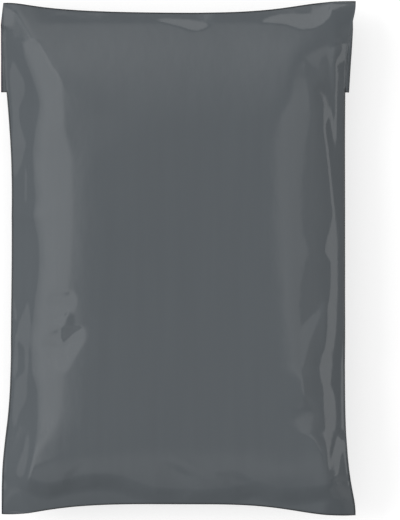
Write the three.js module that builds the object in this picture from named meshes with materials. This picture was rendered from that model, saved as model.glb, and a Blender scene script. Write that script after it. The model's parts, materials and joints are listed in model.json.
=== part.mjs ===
// A filled and sealed poly mailer, lying on its back with its plain front up.
// It is one sheet of film: folded across the bottom, welded along both sides, and folded over the
// mouth as a flap that is glued to the back. The contents can't be seen, so the pack is one solid.
// Millimetres. X runs across the bag, Y along it towards the flap's fold, Z up from the surface it
// lies on. The origin is on that surface, under the middle of the pack.
import * as THREE from "three";
import { mergeVertices } from "three/addons/utils/BufferGeometryUtils.js";

// Overall sizes of the pack
const BAG_WIDTH = 159; // side weld to side weld, at the corners
const BAG_LENGTH = 230; // bottom fold to flap fold, at the corners
const PACK_HEIGHT = 32; // the thickest place, over the surface it lies on
const FLAP_LENGTH = 40; // from its fold to its free edge

// Film, welds and folds
const FILM_GAUGE = 0.06;
const WELD_BEAD = 0.4; // melted bead along each side
const FOLD_THICKNESS = 0.2; // two layers of film, creased
const BEAD_RUN_IN = 12; // the bead thins to the fold over this length at each corner

// How far the filling draws each edge in at its middle
const PULL = { left: 4.6, right: 5.0, top: 5.2, bottom: 5.2 };

// The slack ear that stays nearly straight beside each corner: along its side, and along its end
const EAR = {
  topLeft: { side: 43, end: 21 },
  topRight: { side: 2, end: 27 },
  bottomLeft: { side: 33, end: 16 },
  bottomRight: { side: 6, end: 27 },
};

// How far the flap's cut sides stand out past the welds at the flap's free edge
const FLAP_OVERHANG = { left: 1.7, right: 1.6 };

// Height of the edges over the surface: at the middle of each edge, and at the slack corners
const SEAM_HEIGHT = 15;
const CORNER_HEIGHT = 12;
const CORNER_DROOP = 60; // length of edge over which a corner droops

// Width of the slopes between the edges and the flat of the front, and of the back
const FRONT_SHOULDER = { side: 34, end: 46 };
const FRONT_DOME = 2; // rise of the front's flat towards its middle
const BACK_SHOULDER = { side: 24, bottom: 32 };
const FLAP_LIFT = 6; // the back rises from the surface this far before the flap's free edge

// Facets
const COLUMNS = 34;
const BODY_ROWS = 34;
const FLAP_ROWS = 12;
const EDGE_CROWDING = 0.55; // 0 spaces the facets evenly, and nearer 1 draws them to the edges

const FILM_COLOUR = 0x595e62;

// 0 at an edge, 1 from the shoulder's width inwards, rounding off as the film does
function shoulder(distance, width) {
  return Math.sin((Math.PI / 2) * Math.min(distance / width, 1));
}

// Steps from 0 to 1, closer together at both ends
function crowdedSteps(count) {
  const steps = [];
  for (let i = 0; i <= count; i++) {
    const t = i / count;
    steps.push(t - (EDGE_CROWDING * Math.sin(2 * Math.PI * t)) / (2 * Math.PI));
  }
  return steps;
}

// One edge of the outline: straight beside each corner, then eased in to its pull at the middle.
// The pull is to the left of the way from one corner to the other.
function pulledEdge(from, to, pull, fromEar, toEar) {
  const along = to.clone().sub(from).normalize();
  const inward = new THREE.Vector2(-along.y, along.x);
  const place = (corner, run, depth) =>
    corner.clone().addScaledVector(along, run).addScaledVector(inward, depth);
  const middle = place(from.clone().lerp(to, 0.5), 0, pull);
  const path = new THREE.CurvePath();
  path.add(
    new THREE.CubicBezierCurve(from, place(from, fromEar, 0), place(from, fromEar, pull), middle),
  );
  path.add(
    new THREE.CubicBezierCurve(middle, place(to, -toEar, pull), place(to, -toEar, 0), to),
  );
  return path;
}

// The four edges in plan, as points at 0 to 1 along each, left to right or bottom to top
function outline() {
  const corner = (x, y) => new THREE.Vector2((x * BAG_WIDTH) / 2, (y * BAG_LENGTH) / 2);
  const topLeft = corner(-1, 1);
  const topRight = corner(1, 1);
  const bottomLeft = corner(-1, -1);
  const bottomRight = corner(1, -1);
  const bottom = pulledEdge(
    bottomLeft, bottomRight, PULL.bottom, EAR.bottomLeft.end, EAR.bottomRight.end);
  const right = pulledEdge(
    bottomRight, topRight, PULL.right, EAR.bottomRight.side, EAR.topRight.side);
  const top = pulledEdge(topRight, topLeft, PULL.top, EAR.topRight.end, EAR.topLeft.end);
  const left = pulledEdge(
    topLeft, bottomLeft, PULL.left, EAR.topLeft.side, EAR.bottomLeft.side);
  return {
    bottom: (u) => bottom.getPoint(u),
    top: (u) => top.getPoint(1 - u),
    left: (v) => left.getPoint(1 - v),
    right: (v) => right.getPoint(v),
    topLeft, topRight, bottomLeft, bottomRight,
  };
}

// A point of the outline's inside in plan: u from the left weld to the right, v from the bottom fold up
function planPoint(edges, u, v) {
  const point = new THREE.Vector2();
  point.addScaledVector(edges.bottom(u), 1 - v).addScaledVector(edges.top(u), v);
  point.addScaledVector(edges.left(v), 1 - u).addScaledVector(edges.right(v), u);
  point.addScaledVector(edges.bottomLeft, -(1 - u) * (1 - v));
  point.addScaledVector(edges.bottomRight, -u * (1 - v));
  point.addScaledVector(edges.topLeft, -(1 - u) * v);
  point.addScaledVector(edges.topRight, -u * v);
  return point;
}

// Distances in from the nearest side weld, from the bottom fold and from the flap's fold
function insets(u, v) {
  return {
    side: Math.min(u, 1 - u) * BAG_WIDTH,
    bottom: v * BAG_LENGTH,
    top: (1 - v) * BAG_LENGTH,
  };
}

// Height of the sheet in which the edges lie: it droops to the corners
function seamHeight(inset) {
  const fromSide = shoulder(inset.side, CORNER_DROOP);
  const fromEnd = shoulder(Math.min(inset.bottom, inset.top), CORNER_DROOP);
  const lift = fromSide + fromEnd - fromSide * fromEnd;
  return CORNER_HEIGHT + (SEAM_HEIGHT - CORNER_HEIGHT) * lift;
}

// Thickness of the edge itself: a fold along the ends, and a bead along the sides
function edgeThickness(inset) {
  const runIn = Math.min(1, Math.min(inset.bottom, inset.top) / BEAD_RUN_IN);
  return FOLD_THICKNESS + (WELD_BEAD - FOLD_THICKNESS) * runIn;
}

function frontHeight(u, v) {
  const inset = insets(u, v);
  const end = Math.min(inset.bottom, inset.top);
  const crown = shoulder(inset.side, FRONT_SHOULDER.side) * shoulder(end, FRONT_SHOULDER.end);
  const dome = FRONT_DOME * 16 * u * (1 - u) * v * (1 - v);
  const edge = seamHeight(inset) + edgeThickness(inset) / 2;
  return edge + (PACK_HEIGHT - FRONT_DOME - edge) * crown + dome * crown;
}

function backHeight(u, v) {
  const inset = insets(u, v);
  const onSurface =
    shoulder(inset.side, BACK_SHOULDER.side) *
    shoulder(inset.bottom, BACK_SHOULDER.bottom) *
    shoulder(inset.top, FLAP_LENGTH + FLAP_LIFT);
  return (seamHeight(inset) - edgeThickness(inset) / 2) * (1 - onSurface);
}

// Share of the flap's length from its fold to its free edge
function flapShare(v) {
  return ((1 - v) * BAG_LENGTH) / FLAP_LENGTH;
}

// The cut side of the flap: its upper and lower edge, standing out past the weld at u = 0 or 1
function flapSide(edges, u, v) {
  const outward = u === 0 ? -FLAP_OVERHANG.left : FLAP_OVERHANG.right;
  const weld = planPoint(edges, u, v);
  const x = weld.x + outward * flapShare(v) ** 2;
  const z = backHeight(u, v);
  return [z, z - flapGauge(v)].map((height) => new THREE.Vector3(x, weld.y, height));
}

// The flap grows out of its fold and has the film's gauge from there on
function flapGauge(v) {
  return FILM_GAUGE * Math.min(1, flapShare(v) * 4);
}

// The closed cross-section of the pack at v: over the front from left to right, round the right
// edge, and under the back to the left. Where the flap covers the back, the flap is the outside.
function crossSection(edges, columns, v, underFlap) {
  const at = (u, height) => {
    const plan = planPoint(edges, u, v);
    return new THREE.Vector3(plan.x, plan.y, height);
  };
  const front = columns.map((u) => at(u, frontHeight(u, v)));
  const gauge = underFlap ? flapGauge(v) : 0;
  const back = columns.map((u) => at(u, backHeight(u, v) - gauge));
  const under = (u) => at(u, backHeight(u, v));
  const side = (u) => (underFlap ? flapSide(edges, u, v) : [under(u), under(u)]);
  return [...front, under(1), ...side(1), ...back.reverse(), ...side(0).reverse(), under(0)];
}

// Joins each cross-section to the next with facets, and closes the two ends between the front's and
// the back's points. Facets of no size, where points coincide, are dropped.
function loft(sections, columnCount) {
  const around = sections[0].length;
  const positions = sections.flat().flatMap((point) => point.toArray());
  const facets = [];
  const quad = (a, b, c, d) => facets.push([a, b, c], [a, c, d]);
  for (let row = 0; row + 1 < sections.length; row++) {
    for (let i = 0; i < around; i++) {
      const next = (i + 1) % around;
      const here = row * around;
      const above = here + around;
      quad(here + i, here + next, above + next, above + i);
    }
  }
  const firstBack = columnCount + 4; // after the front's points and the three of the right edge
  const lastRow = (sections.length - 1) * around;
  for (let i = 0; i < columnCount; i++) {
    const under = firstBack + columnCount - i;
    quad(i, under, under - 1, i + 1);
    quad(lastRow + i, lastRow + i + 1, lastRow + under - 1, lastRow + under);
  }
  const geometry = new THREE.BufferGeometry();
  geometry.setAttribute("position", new THREE.Float32BufferAttribute(positions, 3));
  geometry.setIndex(facets.flat());
  const merged = mergeVertices(geometry);
  const corners = [...merged.index.array];
  const kept = [];
  for (let i = 0; i < corners.length; i += 3) {
    const [a, b, c] = corners.slice(i, i + 3);
    if (a !== b && b !== c && c !== a) kept.push(a, b, c);
  }
  merged.setIndex(kept);
  merged.computeVertexNormals();
  return merged;
}

// The pack: plain sections up to the flap's free edge, then sections with the flap on the back. Both
// kinds are made at the free edge itself, so that the flap ends in a step of its own gauge.
function mailerBag() {
  const edges = outline();
  const columns = crowdedSteps(COLUMNS);
  const freeEdge = 1 - FLAP_LENGTH / BAG_LENGTH;
  const sections = [
    ...crowdedSteps(BODY_ROWS).map((t) => crossSection(edges, columns, t * freeEdge, false)),
    ...crowdedSteps(FLAP_ROWS).map((t) =>
      crossSection(edges, columns, freeEdge + t * (1 - freeEdge), true),
    ),
  ];
  const film = new THREE.MeshStandardMaterial({
    color: FILM_COLOUR,
    roughness: 0.3,
    metalness: 0,
  });
  const bag = new THREE.Mesh(loft(sections, COLUMNS), film);
  bag.name = "mailer_bag";
  return bag;
}

const mailer = new THREE.Group();
mailer.add(mailerBag());

export default mailer;
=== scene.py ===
"""A filled grey poly mailer lying on its back, seen from above as in the photograph."""
import json
import math

import bpy
import numpy as np
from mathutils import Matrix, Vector

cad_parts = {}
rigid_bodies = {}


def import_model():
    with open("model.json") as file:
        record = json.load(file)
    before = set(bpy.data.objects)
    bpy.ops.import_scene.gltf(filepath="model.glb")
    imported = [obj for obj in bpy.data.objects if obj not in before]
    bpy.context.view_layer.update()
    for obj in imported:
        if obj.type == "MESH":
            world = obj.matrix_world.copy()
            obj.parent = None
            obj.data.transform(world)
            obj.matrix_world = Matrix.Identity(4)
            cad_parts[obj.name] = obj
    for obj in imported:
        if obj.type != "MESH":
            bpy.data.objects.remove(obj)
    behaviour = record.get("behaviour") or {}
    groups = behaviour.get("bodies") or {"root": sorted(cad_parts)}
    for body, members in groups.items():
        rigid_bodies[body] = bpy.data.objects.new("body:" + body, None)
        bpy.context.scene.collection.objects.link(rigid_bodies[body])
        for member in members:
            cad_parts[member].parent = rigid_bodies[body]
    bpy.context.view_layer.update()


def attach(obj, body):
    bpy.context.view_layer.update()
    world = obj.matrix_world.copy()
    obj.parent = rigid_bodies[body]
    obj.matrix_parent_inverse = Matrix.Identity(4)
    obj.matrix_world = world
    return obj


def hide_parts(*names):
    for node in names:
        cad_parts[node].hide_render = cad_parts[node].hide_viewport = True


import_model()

MM = 0.001

# The photograph: its size and the bag's middle in pixels, and the millimetres in a pixel
PHOTO_WIDTH, PHOTO_HEIGHT = 400, 520
MIDDLE = (178.9, 258.4)
PIXEL = 0.4481

# The bag in millimetres
WIDTH = 159.0
LENGTH = 230.0
HEIGHT = 31.0
FLAP = 40.0


def place(px, py):
    """Plan position in millimetres of a pixel of the photograph."""
    return np.array([(px - MIDDLE[0]) * PIXEL, (MIDDLE[1] - py) * PIXEL])


def smooth(x):
    """0 up to x = 0, 1 from x = 1, eased between."""
    x = np.clip(x, 0, 1)
    return x * x * (3 - 2 * x)


def between(field, j, i, t, s):
    """Value in the cell of a grid at row j and column i: t of the way up it and s of the way across."""
    low = field[j, i] * (1 - s) + field[j, i + 1] * s
    high = field[j + 1, i] * (1 - s) + field[j + 1, i + 1] * s
    return low * (1 - t) + high * t


# Outline
CORNER = {
    "tl": place(3.8, 3.0),
    "tr": place(355.7, 1.2),
    "bl": place(1.7, 514.2),
    "br": place(355.3, 514.8),
}
HALF_EDGE_POINTS = 600


def eased_edge(start, end, pull, first, last):
    """An edge drawn in by pull millimetres to the left of its run, with an (ear, reach) at each end."""
    run = end - start
    length = np.linalg.norm(run)
    along = run / length
    inward = np.array([-along[1], along[0]])
    t = np.linspace(0, 1, HALF_EDGE_POINTS)[:, None]
    weights = ((1 - t) ** 3, 3 * (1 - t) ** 2 * t, 3 * (1 - t) * t ** 2, t ** 3)

    def half(ear, reach):
        knots = [np.array(p, float) for p in ((0, 0), (ear, 0), (ear, pull), (reach, pull))]
        return sum(w * k for w, k in zip(weights, knots))

    near = half(*first)
    far = half(*last)[::-1]
    far = np.column_stack((length - far[:, 0], far[:, 1]))
    path = np.vstack((near, far))
    return start + path[:, :1] * along + path[:, 1:] * inward


# Left to right and bottom to top
EDGE = {
    "bottom": eased_edge(CORNER["bl"], CORNER["br"], pull=5.35, first=(18, 67), last=(27, 67)),
    "top": eased_edge(CORNER["tl"], CORNER["tr"], pull=-5.1, first=(13, 88), last=(27, 67)),
    "left": eased_edge(CORNER["bl"], CORNER["tl"], pull=-3.9, first=(38, 74), last=(49, 85)),
    "right": eased_edge(CORNER["br"], CORNER["tr"], pull=4.95, first=(12, 58), last=(10, 50)),
}


def by_length(path, share):
    """Points at the given shares of a path's length."""
    steps = np.linalg.norm(np.diff(path, axis=0), axis=1)
    run = np.concatenate(([0], np.cumsum(steps)))
    return np.column_stack([np.interp(share * run[-1], run, path[:, k]) for k in (0, 1)])


def coons(u, v):
    """Plan position for u across the bag and v along it."""
    shape = u.shape
    low = by_length(EDGE["bottom"], u.ravel())
    high = by_length(EDGE["top"], u.ravel())
    west_side = by_length(EDGE["left"], v.ravel())
    east_side = by_length(EDGE["right"], v.ravel())
    u, v = u.reshape(-1, 1), v.reshape(-1, 1)
    flat = (1 - v) * low + v * high + (1 - u) * west_side + u * east_side
    flat -= (1 - u) * (1 - v) * CORNER["bl"] + u * (1 - v) * CORNER["br"]
    flat -= (1 - u) * v * CORNER["tl"] + u * v * CORNER["tr"]
    return flat.reshape(*shape, 2)


# The front's slopes, drawn on a fine raster in the photograph's pixels. Each shoulder is a row of
# places where the film has a given slope; its fall is the sum of the slopes on the way to the edge.
PITCH = 0.5
MARGIN = 8
RX = np.arange(-MARGIN, 360 + MARGIN, PITCH)
RY = np.arange(-MARGIN, PHOTO_HEIGHT + MARGIN, PITCH)
GX, GY = np.meshgrid(RX, RY)
COLUMN = RX[None, :]
ROW = RY[:, None]
LEAST_STEP = 0.2
FACET_EDGE = (0.4, 1.2)
CREASE_BLUR = 0.7


def blur(field, sigma, axis):
    """Gaussian blur along one axis, cut off at three sigma."""
    reach = int(3 * sigma / PITCH) + 1
    kernel = np.exp(-0.5 * (np.arange(-reach, reach + 1) * PITCH / sigma) ** 2)
    kernel /= kernel.sum()
    wide = [(0, 0), (0, 0)]
    wide[axis] = (reach, reach)
    padded = np.pad(field, wide, mode="edge")
    return np.apply_along_axis(lambda line: np.convolve(line, kernel, mode="valid"), axis, padded)


def down(knots, soften=5.0):
    """A soft line through (y, value) knots, one value for each row of the raster."""
    return blur(np.interp(ROW, *zip(*knots)), soften, 0)


def across(knots, soften=5.0):
    """A soft line through (x, value) knots, one value for each column of the raster."""
    return blur(np.interp(COLUMN, *zip(*knots)), soften, 1)


def bell(middle, reach, power=2):
    """1 at a row of the raster, falling off over reach."""
    return np.exp(-(((ROW - middle) / reach) ** power))


def slopes(position, stations):
    """Slope at each raster point: stations are (line, slope) pairs on the way to an edge."""
    field = np.full(GX.shape, stations[0][1], float)
    for (a, low), (b, high) in zip(stations, stations[1:]):
        field += (high - low) * np.clip((position - a) / np.maximum(b - a, LEAST_STEP), 0, 1)
    return field


def facets(items, at, position):
    """Extra slope: each item is (slope, [(along, from, to), ...]), a long facet of the film."""
    field = np.zeros(GX.shape)
    for change, rows in items:
        along, starts, ends = zip(*rows)
        first = np.interp(at, along, starts)
        second = np.interp(at, along, ends)
        inside = (at >= along[0]) & (at <= along[-1])
        soft = np.clip(second - first, *FACET_EDGE)
        mask = smooth((position - first) / soft + 0.5) * smooth((second - position) / soft + 0.5)
        field += change * mask * inside
    return field


def gentler(inset, least, reach):
    """Share of a shoulder's slope by a slack corner: least at the edge, and whole from reach inwards."""
    return least + (1 - least) * smooth(inset / reach)


# Slopes of the strips by the side welds: where they start, and at the weld
STRIP_SLOPE = 0.83
WELD_SLOPE = 0.86

# Left shoulder: the taut strip by the weld, the kink, the long round
FLAT_X = 175
left_kink = down([
    (0, 15), (20, 15), (30, 18), (41, 22), (60, 25), (80, 33), (95, 38), (105, 40), (130, 36), (150, 33),
    (180, 34), (200, 36), (215, 33), (235, 38), (260, 40), (280, 38), (300, 35), (320, 33), (340, 31),
    (370, 32), (390, 38), (420, 38), (440, 36), (460, 33), (480, 27), (500, 21), (515, 16),
], 3.0)
left_round = down([
    (41, 50), (50, 54), (60, 56), (72, 58), (85, 61), (100, 62), (128, 63), (140, 66), (160, 71),
    (200, 72), (240, 71), (270, 69), (290, 67), (305, 68), (320, 69), (340, 70), (355, 68), (375, 62),
    (390, 61), (410, 60), (420, 57), (432, 50), (440, 44), (452, 38), (462, 33),
], 4.0)
left_lead = down([
    (40, 0.16), (60, 0.135), (75, 0.116), (90, 0.105), (105, 0.095), (130, 0.075), (150, 0.06),
])

# Between kink and round the film drops by about the same depth, so it is steeper where they are close
LEFT_DROP = 15.5
LEFT_LEAST_WIDTH = 6.0
LEFT_STEEP = (0.32, 0.60)
left_steep = 2 * LEFT_DROP / np.maximum(left_round - left_kink, LEFT_LEAST_WIDTH) - 0.26
left_steep = np.clip(left_steep, *LEFT_STEEP) * (1 - 0.22 * smooth((66 - ROW) / 26))
by_flap = smooth((165 - ROW) / 50)
west = slopes(-GX, [
    (-FLAT_X, 0.0),
    (-left_round - 34 - 40 * by_flap, 0.07 + (left_lead - 0.07) * by_flap),
    (-left_round - 4, 0.17 + (left_lead - 0.15) * by_flap),
    (-left_round, 0.24),
    (-left_kink - 2, left_steep),
    (-left_kink, STRIP_SLOPE),
    (-left_kink + 30, WELD_SLOPE),
])

# The top left corner, slack, with a less steep spot at its tip
CORNER_SLOPE = 0.71
SPOT_END = 31
corner_spot = np.interp(ROW, (2, 22, SPOT_END), (15, 15, 12))
spot_slope = STRIP_SLOPE - 0.33 * smooth((SPOT_END - ROW) / 5)
corner_film = slopes(-GX, [
    (-FLAT_X, 0.0),
    (-140, 0.13),
    (-70, 0.15),
    (-39, 0.19),
    (-37.5, CORNER_SLOPE),
    (-corner_spot - 1, CORNER_SLOPE),
    (-corner_spot + 1, spot_slope),
])
west += (corner_film - west) * smooth((46 - GY) / 9)

# (slope change, [(y, from x, to x), ...])
WEST_FACETS = [
    (0.12, [(290, 73.5, 73.5), (297, 69, 78), (302, 68.5, 78.5), (306, 70, 77.5), (313, 74, 74)]),
    (-0.12, [(290, 56, 56), (297, 47, 56), (302, 46, 56), (306, 48.5, 56), (313, 56, 56)]),
    (0.12, [(452, 33, 33), (460, 30, 34.5), (470, 27, 32.5), (478, 25, 30), (486, 27, 27)]),
    (-0.14, [(310, 71, 71), (316, 68, 75), (322, 65.5, 75), (330, 63, 73), (336, 62.5, 70), (343, 63, 66)]),
    (0.14, [(310, 71, 71), (316, 61, 68), (322, 56, 65.5), (330, 53, 63), (336, 55, 62.5), (343, 60, 63)]),
    (0.14, [(327, 82, 86), (332, 76, 87), (338, 71, 87), (345, 66, 83), (355, 66, 76.5), (365, 66, 71),
            (370, 66, 67)]),
    (-0.14, [(327, 56, 60), (332, 48, 59), (338, 43, 59), (345, 42, 59), (355, 48.5, 59), (365, 54, 59),
             (370, 58, 59)]),
    (-0.20, [(296, 12.5, 14.5), (312, 13.5, 17.5), (322, 15, 18)]),
    (-0.18, [(405, 9.5, 11), (430, 6, 9.5), (460, 4, 8), (490, 3, 6)]),
    (-0.20, [(61, 12, 14), (72, 9, 20), (82, 9, 25), (93, 10, 26), (108, 11, 20), (124, 12, 21),
             (145, 12, 27), (165, 13, 22), (178, 13, 16)]),
    (-0.20, [(164, 25, 26), (176, 25, 28), (200, 24.5, 27.5), (204, 25, 26)]),
    (-0.18, [(300, 28, 29), (312, 23, 31), (325, 18, 32), (337, 16, 31), (349, 25, 30), (370, 25, 29),
             (380, 14, 28.5), (395, 13, 28), (405, 12, 25), (416, 12, 19), (440, 11, 14)]),
    (-0.20, [(334, 16, 17), (346, 14, 19), (370, 13, 19), (380, 13, 14)]),
    (-0.20, [(426, 29, 30), (436, 26, 31.5), (448, 24, 30.5), (462, 19, 28), (472, 17, 25), (478, 20, 22)]),
]
west += facets(WEST_FACETS, ROW, GX)

# Right shoulder: a soft round, then a crease, then the strip by the weld
right_soft = down([
    (50, 287), (80, 285), (110, 276), (140, 272), (180, 276), (260, 281), (300, 284), (340, 288),
    (364, 290), (376, 300.5), (394, 302.2), (401, 297), (407, 292), (418, 292), (428, 296), (435, 310),
    (450, 317),
], 2.0)
right_turn = down([
    (50, 302), (80, 303), (110, 309), (150, 306), (180, 303), (230, 303), (247, 309), (258, 309),
    (270, 303), (310, 299), (340, 301), (364, 301), (376, 301.5), (394, 303.2), (401, 309), (407, 313),
    (420, 314), (428, 312), (435, 311), (450, 318),
], 2.0)
right_crease = down([
    (92, 320.5), (130, 322), (152, 325), (190, 329), (215, 331.5), (230, 328), (240, 325), (250, 323),
    (257, 325), (262, 329), (280, 329), (295, 328), (305, 326), (320, 325), (340, 324.5), (350, 322),
    (357, 319), (365, 317.5), (378, 318.5), (385, 321), (410, 322), (430, 324), (465, 324.5), (478, 326),
], 0.4)
right_fall = down([
    (90, 324), (100, 328), (108, 329.5), (114, 329), (126, 325), (130, 325), (152, 328), (190, 332),
    (215, 334.5), (230, 336.5), (245, 337.5), (290, 337.5), (320, 336.5), (340, 335), (355, 333),
    (370, 331.5), (383, 330.5), (388, 332), (395, 334.5), (410, 336), (425, 335.5), (432, 334),
    (440, 331), (450, 328), (460, 327), (478, 328),
], 0.4)
right_mid = 0.48 - 0.09 * bell(322, 24) + 0.14 * smooth((108 - ROW) / 18) * smooth((ROW - 48) / 14)
right_lead = 0.08 - 0.07 * np.maximum(bell(390, 13), smooth((ROW - 430) / 8))
right_bend = 0.30 + 0.10 * np.maximum(bell(386, 12, 4), smooth((ROW - 431) / 5))


def right_shoulder(crease, strip):
    """Slopes of the right side, for the lines where the crease runs and where the strip starts."""
    return slopes(GX, [
        (right_soft - 22, 0.0),
        (right_soft, right_lead),
        (right_turn, right_bend),
        (crease - 1, right_mid),
        (crease + 1, 0.60),
        (strip - 1, 0.71),
        (strip + 1, STRIP_SLOPE),
        (strip + 12, WELD_SLOPE),
    ])


# Beside the flap the crease and the strip are straight; below it, a flatter wedge lies between them
FLAP_CREASE = 333.5
FLAP_STRIP = 336.0
WEDGE_SLOPE = 0.33
WEDGE_END = 153
wedge_edge = np.interp(ROW, (90, 100, 110, 120, 135, 152), (323.5, 327, 329, 330.5, 333, 336.5))
wedge = smooth((GX - wedge_edge) / 8.0 + 0.5) * smooth((335.5 - GX) / 2.5 + 0.5) * (GY <= WEDGE_END)
east = right_shoulder(right_crease, right_fall) - WEDGE_SLOPE * wedge
east += (right_shoulder(FLAP_CREASE, FLAP_STRIP) - east) * smooth((94 - GY) / 22)
east *= gentler(GY - 3, 0.50, 70.0)

# (slope change, [(y, from x, to x), ...])
EAST_FACETS = [
    (-0.15, [(303, 321, 323), (312, 313, 322), (320, 306.5, 318), (330, 299, 313), (340, 299, 309),
             (350, 299.5, 306), (360, 300, 303), (366, 300, 301)]),
    (-0.10, [(38, 333, 339.5), (52, 333, 339.5), (60, 338, 339.5)]),
    (0.06, [(45, 341, 345), (52, 340, 345)]),
    (0.10, [(48, 348, 351), (54, 346, 351), (64, 345, 351), (65, 333, 350), (70, 336, 350), (94, 349, 350)]),
    (-0.05, [(62, 300, 303), (80, 295, 308), (95, 295, 308), (112, 300, 308)]),
    (0.05, [(62, 303, 306), (80, 308, 321), (95, 308, 321), (112, 308, 316)]),
    (-0.22, [(46, 328, 332), (58, 327, 333), (76, 328.5, 333), (92, 331.5, 333)]),
    (-0.18, [(335, 342.5, 344), (360, 340, 343), (400, 340, 343), (430, 341, 344)]),
    (-0.20, [(433, 336, 338), (440, 334.5, 342), (448, 332.5, 342.5), (453, 331.5, 340), (462, 330, 338.5),
             (472, 328.5, 336), (478, 328, 330)]),
    (-0.20, [(437, 342, 344), (455, 342.5, 346), (470, 345, 348.5), (488, 348, 351)]),
]
east += facets(EAST_FACETS, ROW, GX)

# The end by the flap's fold
far = across([(0, 12), (60, 12), (120, 14), (200, 14), (300, 11), (356, 6)])
late = 14 * smooth((COLUMN - 225) / 110)
far_slope = 0.50 - 0.07 * smooth((52 - COLUMN) / 22) - 0.035 * smooth((COLUMN - 260) / 60)
north = slopes(-GY, [
    (-258, 0.0),
    (-170 + 0.6 * late, 0.02),
    (-130 + late, 0.05),
    (-90 + late, 0.18),
    (-45 + 0.2 * late, 0.36),
    (-27, 0.41),
    (-21, far_slope),
    (-far - 2, far_slope + 0.01),
    (-far + 6, far_slope + 0.02),
])
north *= 1 + 0.12 * smooth((COLUMN - 240) / 116)

# (slope change, [(x, from y, to y), ...])
NORTH_FACETS = [
    (0.06, [(48, 14, 14.4), (58, 14, 15), (72, 15.2, 16)]),
    (0.05, [(84, 14.6, 15), (97, 14.4, 15.6), (110, 15.4, 15.8)]),
    (0.12, [(158, 20.5, 22), (168, 20, 24.5), (180, 20.5, 28), (190, 21, 32), (197, 22, 33),
            (205, 23.5, 31), (211, 26, 28)]),
    (0.06, [(168, 23, 24.5), (180, 23, 28), (190, 23, 32), (197, 23.5, 33), (205, 25, 31)]),
    (0.12, [(262, 22, 24), (272, 17.5, 24), (285, 15.5, 26), (300, 15, 31.5), (312, 15, 31),
            (314, 10, 30.5), (321, 8, 27), (329, 6.5, 17.5), (331, 5.5, 10), (340, 3.5, 6), (347, 3, 4)]),
    (0.04, [(284, 23, 25), (292, 22.5, 28), (300, 22, 31.5), (312, 21, 31), (317, 14, 29), (321, 8, 27),
            (329, 6.5, 17.5)]),
]
north += facets(NORTH_FACETS, COLUMN, GY)

# The end by the bottom fold
near = across([
    (0, 470), (20, 473), (35, 480), (50, 484), (65, 480), (80, 476), (100, 474), (120, 476), (140, 484),
    (155, 489), (200, 491), (232, 489), (250, 482), (262, 484), (275, 490), (310, 488), (325, 485),
    (340, 484), (356, 484),
], 4.0)
near_slope = 0.36 + 0.18 * smooth((32 - COLUMN) / 16) + 0.16 * smooth((COLUMN - 320) / 16)
south = slopes(GY, [
    (400, 0.0),
    (440, 0.06),
    (468, 0.24),
    (near - 4, 0.34),
    (near + 3, 0.72),
    (near + 10, 0.78),
    (near + 15, near_slope),
    (near + 40, near_slope + 0.04),
])
south *= gentler(356 - GX, 0.85, 60.0)

# (slope change, [(x, from y, to y), ...])
SOUTH_FACETS = [
    (0.12, [(64, 474, 474), (72, 466, 474), (78, 461, 469), (84, 457, 463), (90, 458, 458)]),
    (-0.12, [(64, 484, 484), (72, 482, 490), (78, 481, 489), (84, 480, 486), (90, 482, 482)]),
    (0.14, [(158, 458, 458), (168, 458, 464), (176, 460, 469), (184, 465, 473), (192, 474, 474)]),
    (-0.14, [(158, 492, 492), (168, 492, 498), (176, 492, 501), (184, 492, 500), (192, 492, 492)]),
    (0.12, [(214, 471, 471), (228, 467, 475), (240, 469, 480), (252, 478, 478)]),
    (-0.12, [(214, 492, 492), (228, 491, 499), (240, 488, 499), (252, 486, 486)]),
]
south += facets(SOUTH_FACETS, COLUMN, GY)


def fall(field, axis, towards_start):
    """Drop in millimetres on the way to an edge, from the slopes along one axis of the raster."""
    field = blur(blur(field, CREASE_BLUR, 0), CREASE_BLUR, 1)
    if towards_start:
        field = np.flip(field, axis)
    total = np.cumsum(field, axis) * PITCH * PIXEL
    return np.flip(total, axis) if towards_start else total


def swell(x, y, along, across_it, turn, height):
    """A soft lump or dent: its middle and reaches in pixels, its turn in degrees, and its height."""
    c, d = math.cos(math.radians(turn)), math.sin(math.radians(turn))
    first = ((GX - x) * c + (GY - y) * d) / along
    second = ((GY - y) * c - (GX - x) * d) / across_it
    return height * np.exp(-(first ** 2) - second ** 2)


# The four falls are joined by a norm: the higher it is, the sharper the crease where two of them meet
JOIN = 2.2
JOIN_SWELLS = (
    (304, 76, 26, 32, 0, -0.9),
    (62, 78, 44, 44, 0, 3.5),
    (20, 26, 28, 28, 0, 28),
)
LUMPS = (
    (196, 468, 20, 5, 35, 0.25),
    (284, 470, 24, 14, 0, 0.45),
    (313, 431, 12, 7, 35, 0.26),
    (226, 474, 18, 5, 40, 0.22),
)
falls = (fall(west, 1, True), fall(east, 1, False), fall(north, 0, True), fall(south, 0, False))
norm = JOIN + sum(swell(*each) for each in JOIN_SWELLS)
drop = sum(np.maximum(f, 0.0) ** norm for f in falls) ** (1 / norm)
relief = HEIGHT - drop + sum(swell(*each) for each in LUMPS)


def on_front(x, y):
    """Front height at plan positions in millimetres, from the raster."""
    i = np.clip((x / PIXEL + MIDDLE[0] - RX[0]) / PITCH, 0, len(RX) - 1.001)
    j = np.clip((MIDDLE[1] - y / PIXEL - RY[0]) / PITCH, 0, len(RY) - 1.001)
    i0, j0 = i.astype(int), j.astype(int)
    return between(relief, j0, i0, j - j0, i - i0)


# Mesh grid: close together in the bead and the shoulders. Distances from an edge, and (end, step) zones.
SIDE_RIM = (0, 0.08, 0.24, 0.4, 0.56, 0.72, 0.8, 1.0, 1.3)
SIDE_ZONES = ((36, 0.6), (WIDTH / 2, 1.2))
END_RIM = (0, 0.07, 0.2, 0.33, 0.4, 0.7, 1.2)
END_ZONES = ((20, 0.75), (LENGTH / 2, 1.0))


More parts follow.
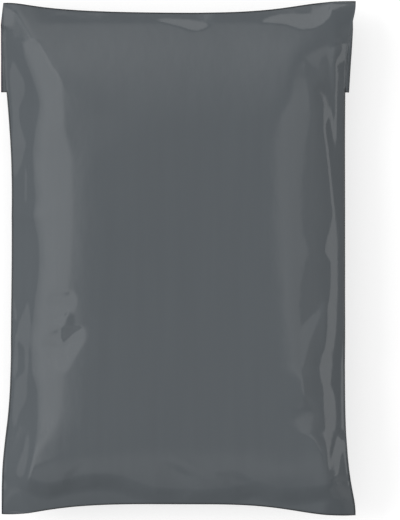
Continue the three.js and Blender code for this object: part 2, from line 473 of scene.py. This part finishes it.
def spacing(length, zones, rim):
    """Shares across the bag from its rim and zones, the same from both edges."""
    half = list(rim)
    for end, step in zones:
        start = half[-1]
        count = max(1, int(round((end - start) / step)))
        half += [start + (end - start) * (k + 1) / count for k in range(count)]
    half = np.array(half)
    return np.concatenate((half, length - half[-2::-1])) / length


U = spacing(WIDTH, SIDE_ZONES, SIDE_RIM)
V = spacing(LENGTH, END_ZONES, END_RIM)
if len(U) % 2 == 0 or len(V) % 2 == 0:
    raise SystemExit("the grid needs an even number of cells each way")
uu, vv = np.meshgrid(U, V)
NR, NC = uu.shape
plan = coons(uu, vv)
X, Y = plan[..., 0], plan[..., 1]
left, right = uu * WIDTH, (1 - uu) * WIDTH
bottom, top = vv * LENGTH, (1 - vv) * LENGTH
d_side, d_end = np.minimum(left, right), np.minimum(bottom, top)

# The sheet in which the seams lie, spanned between the front's edges
front = on_front(X, Y)
rim_l, rim_r, rim_b, rim_t = front[:, :1], front[:, -1:], front[:1], front[-1:]
seam = (1 - uu) * rim_l + uu * rim_r + (1 - vv) * rim_b + vv * rim_t
seam -= (1 - uu) * (1 - vv) * front[0, 0] + uu * (1 - vv) * front[0, -1]
seam -= (1 - uu) * vv * front[-1, 0] + uu * vv * front[-1, -1]

# The back: from the seams down to the floor. Widths of its slopes in millimetres.
BACK_STRAIGHT = 5.0
BACK_SIDE = 26.0
BACK_BOTTOM = 34.0
BACK_TOP = FLAP + 6.0


def slope_then_round(d, width):
    """0 at an edge to 1 at width: taut film leaves the edge straight, then rounds over."""
    rounded = (width - BACK_STRAIGHT) * 2 / math.pi
    bend = np.sin(np.clip((d - BACK_STRAIGHT) / (width - BACK_STRAIGHT), 0, 1) * math.pi / 2)
    return np.where(d < BACK_STRAIGHT, d, BACK_STRAIGHT + rounded * bend) / (BACK_STRAIGHT + rounded)


rest = slope_then_round(left, BACK_SIDE) * slope_then_round(right, BACK_SIDE)
rest = rest * slope_then_round(bottom, BACK_BOTTOM) * slope_then_round(top, BACK_TOP)
back = seam * (1 - rest)

# Puckers of the back's slack film: height, lengths of the waves, how they fade in and out
GATHER_HEIGHT = 0.35
GATHER_WAVES = (4.1, 11.3, 6.7)
GATHER_IN = 7.0
GATHER_END = 24.0
GATHER_OUT = 16.0


def gathers(run, inset, phase):
    """Puckers across an edge, along which run is measured, at an inset from it."""
    short, long, middle = GATHER_WAVES
    wave = np.sin(run / short + phase) * np.sin(run / long + 2.1 * phase)
    wave = wave + 0.6 * np.sin(run / middle - phase)
    return GATHER_HEIGHT * wave * smooth(inset / GATHER_IN) * smooth((GATHER_END - inset) / GATHER_OUT)


back += gathers(Y, left, 0.7) + gathers(Y, right, 2.9) + gathers(X, bottom, 1.6)

# The beads of the side welds and of the folded ends
WELD_RADIUS = 0.4
FOLD_RADIUS = 0.2
WELD_RUN_IN = 8.0
BEAD_BY_FLAP = 0.15


def bead(d, r):
    """Height of a half-round bead of radius r along an edge."""
    inside = np.sqrt(np.clip(1 - ((d - r) / r) ** 2, 0, 1)) * r
    return np.where(d <= 2 * r, inside, 0.0)


clear_of_flap = smooth((top - FLAP) / 4.0 + 0.5)
weld_bead = bead(d_side, WELD_RADIUS) * smooth(d_end / WELD_RUN_IN)
weld_bead = weld_bead * (BEAD_BY_FLAP + (1 - BEAD_BY_FLAP) * clear_of_flap)
beads = np.maximum(weld_bead, bead(d_end, FOLD_RADIUS))
front = front + beads
back = np.maximum(back - beads, 0.0)


def quads(grid, flip=False):
    """Faces between the points of a grid of indices."""
    a, b, c, d = grid[:-1, :-1], grid[:-1, 1:], grid[1:, 1:], grid[1:, :-1]
    order = (a, d, c, b) if flip else (a, b, c, d)
    return np.stack([q.ravel() for q in order], axis=1).tolist()


def strip_faces(a, b):
    """Faces between two rows of indices."""
    return np.stack((a[:-1], a[1:], b[1:], b[:-1]), axis=1)


# The pillow: the front, and the back on every second line of the same grid, closed at the rim
index = np.arange(NR * NC).reshape(NR, NC)
verts = [np.column_stack((X.ravel(), Y.ravel(), front.ravel()))]
faces = quads(index)

# The four corner quads are split through the bag's corner, so that they don't lie on the back's faces
for row, col, turn in ((0, 0, 0), (0, NC - 2, 1), (NR - 2, NC - 2, 2), (NR - 2, 0, 3)):
    at = row * (NC - 1) + col
    quad = faces[at][turn:] + faces[at][:turn]
    faces[at] = quad[:3]
    faces.append([quad[0], quad[2], quad[3]])

coarse = index[::2, ::2].copy()
inner = np.zeros(coarse.shape, bool)
inner[1:-1, 1:-1] = True
coarse[inner] = NR * NC + np.arange(inner.sum())
verts.append(np.column_stack([f[::2, ::2][inner] for f in (X, Y, back)]))
CR, CC = coarse.shape
faces += quads(coarse[1:-1, 1:-1], flip=True)
for j in range(CR - 1):
    for i in range(CC - 1):
        if 0 < j < CR - 2 and 0 < i < CC - 2:
            continue
        ring = [coarse[j, i]]
        if i == 0:
            ring.append(index[2 * j + 1, 0])
        ring.append(coarse[j + 1, i])
        if j == CR - 2:
            ring.append(index[-1, 2 * i + 1])
        ring.append(coarse[j + 1, i + 1])
        if i == CC - 2:
            ring.append(index[2 * j + 1, -1])
        ring.append(coarse[j, i + 1])
        if j == 0:
            ring.append(index[0, 2 * i + 1])
        faces.append([int(k) for k in ring])
pillow_points = NR * NC + int(inner.sum())


def on_back(u, v):
    """Back height at shares u and v, by interpolation on its own grid."""
    us, vs = U[::2], V[::2]
    i = np.clip(np.searchsorted(us, u, side="right") - 1, 0, len(us) - 2)
    j = np.clip(np.searchsorted(vs, v, side="right") - 1, 0, len(vs) - 2)
    s = (u - us[i]) / (us[i + 1] - us[i])
    t = (v - vs[j]) / (vs[j + 1] - vs[j])
    return between(back[::2, ::2], j, i, t, s)


# The flap: its own layer on the back, from the fold at the top to its free edge, a little askew
FLAP_ROWS = 48
FLAP_MORE = 0.1
FLAP_SKEW = 1.4
FLAP_GAP = 0.05
FLAP_GAUGE = 0.10
FLAP_LEAST = 0.04
FLAP_DROOP = 0.12
OVERHANG_COLUMNS = 3

# Its cut sides in the photograph: (share of the flap's length, x)
CUT_LEFT = ((0, 3.4), (0.25, 0.9), (1, 0.9))
CUT_RIGHT = ((0, 355.4), (0.16, 352.4), (0.32, 352.4), (0.66, 350.4), (1, 348.4))

share = np.linspace(0, 1, FLAP_ROWS)[:, None]


def cut_side(knots):
    """Plan position across the bag of a cut side, for each row of the flap."""
    shares, pixels = zip(*knots)
    return np.interp(share, shares, [place(p, 0)[0] for p in pixels])


def widened(column):
    """A column of the flap's grid, once for each column that overhangs."""
    return np.repeat(column, OVERHANG_COLUMNS, 1)


clear_of_rim = len(SIDE_RIM)
flap_u = np.concatenate(([0.0], U[clear_of_rim:-clear_of_rim:2], [1.0]))
fu = np.repeat(flap_u[None, :], FLAP_ROWS, 0)
fv = 1 - share * (FLAP + FLAP_MORE + FLAP_SKEW * fu) / LENGTH
flat = coons(fu, fv)
fx, fy, fz = flat[..., 0], flat[..., 1], on_back(fu, fv)
cut_left, cut_right = cut_side(CUT_LEFT), cut_side(CUT_RIGHT)
ramp = np.linspace(0, 1, OVERHANG_COLUMNS, endpoint=False)
droop = FLAP_DROOP * (1 - ramp) * np.abs(cut_left - fx[:, :1])
fx = np.hstack((
    cut_left * (1 - ramp) + fx[:, :1] * ramp,
    fx,
    cut_right * (1 - ramp[::-1]) + fx[:, -1:] * ramp[::-1],
))
fy = np.hstack((widened(fy[:, :1]), fy, widened(fy[:, -1:])))
fz = np.hstack((fz[:, :1] - droop, fz, widened(fz[:, -1:])))
inside_z = fz - FLAP_GAP * smooth(share / 0.2)
outside_z = np.maximum(inside_z - FLAP_GAUGE * smooth(share / 0.1 + 0.05), 0.0)
inside_z = np.maximum(inside_z, outside_z + FLAP_LEAST)
FR, FC = fx.shape
upper = pillow_points + np.arange(FR * FC).reshape(FR, FC)
lower = upper + FR * FC
verts.append(np.column_stack((fx.ravel(), fy.ravel(), inside_z.ravel())))
verts.append(np.column_stack((fx.ravel(), fy.ravel(), outside_z.ravel())))
faces += quads(upper, flip=True)
faces += quads(lower)
faces += strip_faces(upper[0], lower[0])[:, ::-1].tolist()
faces += strip_faces(upper[-1], lower[-1]).tolist()
faces += strip_faces(upper[:, 0], lower[:, 0]).tolist()
faces += strip_faces(upper[:, -1], lower[:, -1])[:, ::-1].tolist()

points = np.vstack(verts) * MM
mesh = bpy.data.meshes.new("mailer_film")
mesh.from_pydata(points.tolist(), [], faces)
mesh.validate()

# Painted shade: the film's colour is darkened to near-black along the welds, the folded ends and the flap's
# cut edges, where its edge falls into shade
EDGE_SHADE_WIDTH = 0.6
EDGE_SHADE_BESIDE_CUT = 0.35
painted_edge_shade = np.zeros(len(points))
beside_flap = (top < FLAP) & (d_side < d_end)
painted_edge_shade[: NR * NC] = (np.exp(-((np.minimum(d_side, d_end) / EDGE_SHADE_WIDTH) ** 4)) * ~beside_flap).ravel()
flap_edge_shade = np.zeros((2, FR, FC))
flap_edge_shade[:, :, (0, -1)] = 1.0
flap_edge_shade[:, :, (1, -2)] = EDGE_SHADE_BESIDE_CUT
flap_edge_shade[:, -1] = 1.0
painted_edge_shade[pillow_points:] = flap_edge_shade.ravel()
attribute = mesh.attributes.new("painted_edge_shade", "FLOAT", "POINT")
attribute.data.foreach_set("value", painted_edge_shade.astype(np.float32))
mesh.polygons.foreach_set("use_smooth", np.ones(len(mesh.polygons), bool))
mesh.update()
film = bpy.data.objects.new("mailer_film", mesh)
bpy.context.scene.collection.objects.link(film)

FILM_DARK = (0.096, 0.107, 0.117)
FILM_LIGHT = (0.104, 0.117, 0.127)
# Near-black colour of the painted shade along the welds, folded ends and cut edges
EDGE_SHADE_COLOUR = (0.020, 0.022, 0.024)
FILM_IOR = 1.5
ROUGHNESS = (0.09, 0.15)
GLOSS_NOISE = (0.3, 0.7)


def film_material():
    """Grey film: streaks of the resin, dulled patches, painted shade along the welds and cut edges, faint
    ripples and fine grain.
    """
    material = bpy.data.materials.new("grey_film")
    material.use_nodes = True
    nodes, links = material.node_tree.nodes, material.node_tree.links
    shader = nodes["Principled BSDF"]
    shader.inputs["IOR"].default_value = FILM_IOR
    where = nodes.new("ShaderNodeTexCoord").outputs["Object"]

    def noise(scale, detail, stretch=(1, 1, 1)):
        """Noise over the film, its features 1 / scale metres across, drawn out along the bag by stretch."""
        mapping = nodes.new("ShaderNodeMapping")
        mapping.inputs["Scale"].default_value = stretch
        links.new(where, mapping.inputs["Vector"])
        texture = nodes.new("ShaderNodeTexNoise")
        texture.inputs["Scale"].default_value = scale
        texture.inputs["Detail"].default_value = detail
        links.new(mapping.outputs["Vector"], texture.inputs["Vector"])
        return texture.outputs["Fac"]

    def blend(factor, first, second):
        """A mix of two colours, each a tuple or another node's output."""
        mix = nodes.new("ShaderNodeMix")
        mix.data_type = "RGBA"
        for socket, colour in (("A", first), ("B", second)):
            if isinstance(colour, tuple):
                mix.inputs[socket].default_value = (*colour, 1)
            else:
                links.new(colour, mix.inputs[socket])
        links.new(factor, mix.inputs["Factor"])
        return mix.outputs["Result"]

    def bump(height, strength, distance):
        """A bump node for a height, its distance in metres."""
        node = nodes.new("ShaderNodeBump")
        node.inputs["Strength"].default_value = strength
        node.inputs["Distance"].default_value = distance
        links.new(height, node.inputs["Height"])
        return node

    # The resin's drawn-out streaks, and painted shade along the welds and cut edges
    streaked = blend(noise(scale=240, detail=3, stretch=(1, 0.05, 1)), FILM_DARK, FILM_LIGHT)
    edge_shade_value = nodes.new("ShaderNodeAttribute")
    edge_shade_value.attribute_name = "painted_edge_shade"
    links.new(blend(edge_shade_value.outputs["Fac"], streaked, EDGE_SHADE_COLOUR), shader.inputs["Base Color"])

    # Handling dulls the gloss in patches
    gloss = nodes.new("ShaderNodeMapRange")
    gloss.inputs["From Min"].default_value, gloss.inputs["From Max"].default_value = GLOSS_NOISE
    gloss.inputs["To Min"].default_value, gloss.inputs["To Max"].default_value = ROUGHNESS
    links.new(noise(scale=45, detail=4), gloss.inputs["Value"])
    links.new(gloss.outputs["Result"], shader.inputs["Roughness"])

    # Slack ripples of a few millimetres, and the film's own fine grain
    ripple = bump(noise(scale=170, detail=2, stretch=(1, 0.6, 1)), strength=0.4, distance=0.0002)
    grain = bump(noise(scale=2600, detail=2), strength=0.3, distance=0.00001)
    links.new(ripple.outputs["Normal"], grain.inputs["Normal"])
    links.new(grain.outputs["Normal"], shader.inputs["Normal"])
    return material


film.data.materials.append(film_material())
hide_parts("mailer_bag")
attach(film, "root")

# Floor: matte, with a glow that only the camera and reflections see, so that it keeps its shadow
FLOOR_HALF = 4.0
FLOOR_COLOUR = (0.50, 0.50, 0.50, 1)
FLOOR_GLOW = 0.61
WHITE = (1, 1, 1, 1)


def sum_of(nodes, links, outputs):
    """The sum of several outputs of nodes."""
    total = outputs[0]
    for output in outputs[1:]:
        node = nodes.new("ShaderNodeMath")
        node.operation = "ADD"
        links.new(total, node.inputs[0])
        links.new(output, node.inputs[1])
        total = node.outputs[0]
    return total


def floor_material():
    """White floor."""
    material = bpy.data.materials.new("white_floor")
    material.use_nodes = True
    nodes, links = material.node_tree.nodes, material.node_tree.links
    nodes.clear()
    out = nodes.new("ShaderNodeOutputMaterial")
    matte = nodes.new("ShaderNodeBsdfDiffuse")
    matte.inputs["Color"].default_value = FLOOR_COLOUR
    glow = nodes.new("ShaderNodeEmission")
    glow.inputs["Color"].default_value = WHITE
    ray = nodes.new("ShaderNodeLightPath").outputs
    seen = sum_of(nodes, links, [ray[f"Is {kind} Ray"] for kind in ("Camera", "Glossy", "Transmission")])
    level = nodes.new("ShaderNodeMath")
    level.operation = "MULTIPLY"
    level.inputs[1].default_value = FLOOR_GLOW
    links.new(seen, level.inputs[0])
    links.new(level.outputs[0], glow.inputs["Strength"])
    both = nodes.new("ShaderNodeAddShader")
    links.new(matte.outputs[0], both.inputs[0])
    links.new(glow.outputs[0], both.inputs[1])
    links.new(both.outputs[0], out.inputs["Surface"])
    return material


floor_mesh = bpy.data.meshes.new("floor")
floor_corners = [(x * FLOOR_HALF, y * FLOOR_HALF, 0) for x, y in ((-1, -1), (1, -1), (1, 1), (-1, 1))]
floor_mesh.from_pydata(floor_corners, [], [(0, 1, 2, 3)])
floor = bpy.data.objects.new("floor", floor_mesh)
bpy.context.scene.collection.objects.link(floor)
floor.data.materials.append(floor_material())

# World: even light, dim where the film mirrors it
WORLD_LEVEL = 0.745
WORLD_MIRRORED = 0.03
world = bpy.data.worlds.new("studio")
bpy.context.scene.world = world
world.use_nodes = True
world_nodes, world_links = world.node_tree.nodes, world.node_tree.links
backdrop = world_nodes["Background"]
backdrop.inputs["Color"].default_value = WHITE
world_ray = world_nodes.new("ShaderNodeLightPath")
world_level = world_nodes.new("ShaderNodeMath")
world_level.operation = "MULTIPLY_ADD"
world_level.inputs[1].default_value = WORLD_MIRRORED - WORLD_LEVEL
world_level.inputs[2].default_value = WORLD_LEVEL
world_links.new(world_ray.outputs["Is Glossy Ray"], world_level.inputs[0])
world_links.new(world_level.outputs[0], backdrop.inputs["Strength"])

# Light panels: points each way, and their distance in metres, a step more for each object there is
PANEL_POINTS = 25
PANEL_REACH = 2.5
PANEL_STEP = 0.02

# A cut panel narrows from this angle on, over this many degrees
CUT_FROM = 34
CUT_OVER = 10


def softbox(name, azimuth, spread, high, low, radiance, fade, foot=0.5, side=8.0, cut=0.0):
    """A curved panel round the bag, from high to low in degrees from straight up, that the film mirrors.

    It fades in over fade degrees at its top, foot at its bottom and side at its sides. Lower down it
    begins cut degrees later on its first side.
    """
    reach = PANEL_REACH + PANEL_STEP * len(bpy.data.objects)
    turns = np.linspace(azimuth - spread, azimuth + spread, PANEL_POINTS)
    angles = np.linspace(high, low, PANEL_POINTS)
    angle, turn = np.meshgrid(angles, turns, indexing="ij")
    a, e = np.radians(turn), np.radians(angle)
    pts = np.stack((np.cos(a) * np.sin(e), np.sin(a) * np.sin(e), np.cos(e)), -1).reshape(-1, 3) * reach
    panel = bpy.data.meshes.new(name)
    grid = np.arange(PANEL_POINTS ** 2).reshape(PANEL_POINTS, PANEL_POINTS)
    panel.from_pydata(pts.tolist(), [], quads(grid))
    strength = smooth((angle - high) / fade) if fade else np.ones(angle.shape)
    strength = strength * smooth((low - angle) / foot)
    first = azimuth - spread + cut * smooth((angle - CUT_FROM) / CUT_OVER)
    last = azimuth + spread
    strength = strength * smooth(np.minimum(turn - first, last - turn) / side)
    glow = panel.attributes.new("glow", "FLOAT", "POINT")
    glow.data.foreach_set("value", (strength * radiance).ravel().astype(np.float32))
    obj = bpy.data.objects.new(name, panel)
    bpy.context.scene.collection.objects.link(obj)
    material = bpy.data.materials.new(name)
    material.use_nodes = True
    nodes, links = material.node_tree.nodes, material.node_tree.links
    nodes.clear()
    out = nodes.new("ShaderNodeOutputMaterial")
    emit = nodes.new("ShaderNodeEmission")
    value = nodes.new("ShaderNodeAttribute")
    value.attribute_name = "glow"
    clear = nodes.new("ShaderNodeBsdfTransparent")
    both = nodes.new("ShaderNodeAddShader")
    links.new(value.outputs["Fac"], emit.inputs["Strength"])
    links.new(emit.outputs[0], both.inputs[0])
    links.new(clear.outputs[0], both.inputs[1])
    links.new(both.outputs[0], out.inputs["Surface"])
    panel.materials.append(material)
    obj.visible_camera = False
    obj.visible_diffuse = False
    obj.visible_shadow = False


# Name, azimuth, spread, high, low, radiance, and how each fades
softbox("left_box", 176, 36, 14, 76, 0.52, fade=16, side=4, cut=17)
softbox("left_high_box", 176, 36, 14, 67, 0.56, fade=16, foot=11, side=4, cut=17)
softbox("right_strip_box", 0, 45, 74, 92, 0.24, fade=2, foot=2)
softbox("right_low_box", 12, 35, 62, 76, 1.32, fade=0, side=4)
softbox("right_mid_box", 0, 55, 34, 62, 0.24, fade=6, foot=1, side=25)
softbox("right_high_box", 20, 44, 6, 37, 0.58, fade=8, foot=4, side=18)
softbox("corner_box", 318, 28, 66, 94, 0.26, fade=4, foot=4, side=14)
softbox("bottom_box", 270, 55, 14, 56, 0.26, fade=12, foot=26, side=15)
softbox("top_low_box", 90, 30, 62, 76, 1.25, fade=0)
softbox("top_box", 118, 48, 4, 58, 0.84, fade=44, foot=8, side=34)
softbox("ceiling", 0, 180, 0, 52, 0.10, fade=0, foot=10, side=0.1)

# Key light from the left, and a little from the top of the picture
SUN_ENERGY = 1.45
SUN_SIZE = math.radians(34)
SUN_HEIGHT = math.radians(34)
SUN_DRIFT = -0.22
sun = bpy.data.lights.new("key", "SUN")
sun.energy = SUN_ENERGY
sun.angle = SUN_SIZE
key = bpy.data.objects.new("key", sun)
aim = Vector((math.cos(SUN_HEIGHT), SUN_DRIFT, -math.sin(SUN_HEIGHT)))
key.rotation_euler = aim.to_track_quat("-Z", "Y").to_euler()
key.visible_glossy = False
bpy.context.scene.collection.objects.link(key)

# Camera: straight down, as the photograph, whose scale holds at the height of the rim
LENS = 200
SENSOR = 36
RIM_HEIGHT = 12
cam_data = bpy.data.cameras.new("camera")
cam_data.lens = LENS
cam_data.sensor_width = SENSOR
cam_data.clip_end = 20
camera = bpy.data.objects.new("camera", cam_data)
centre = place(PHOTO_WIDTH / 2, PHOTO_HEIGHT / 2)
eye = RIM_HEIGHT + PIXEL * PHOTO_HEIGHT / SENSOR * LENS
camera.location = (centre[0] * MM, centre[1] * MM, eye * MM)
camera.rotation_euler = (0, 0, 0)
bpy.context.scene.collection.objects.link(camera)
bpy.context.scene.camera = camera

bpy.context.scene.view_settings.view_transform = "Standard"
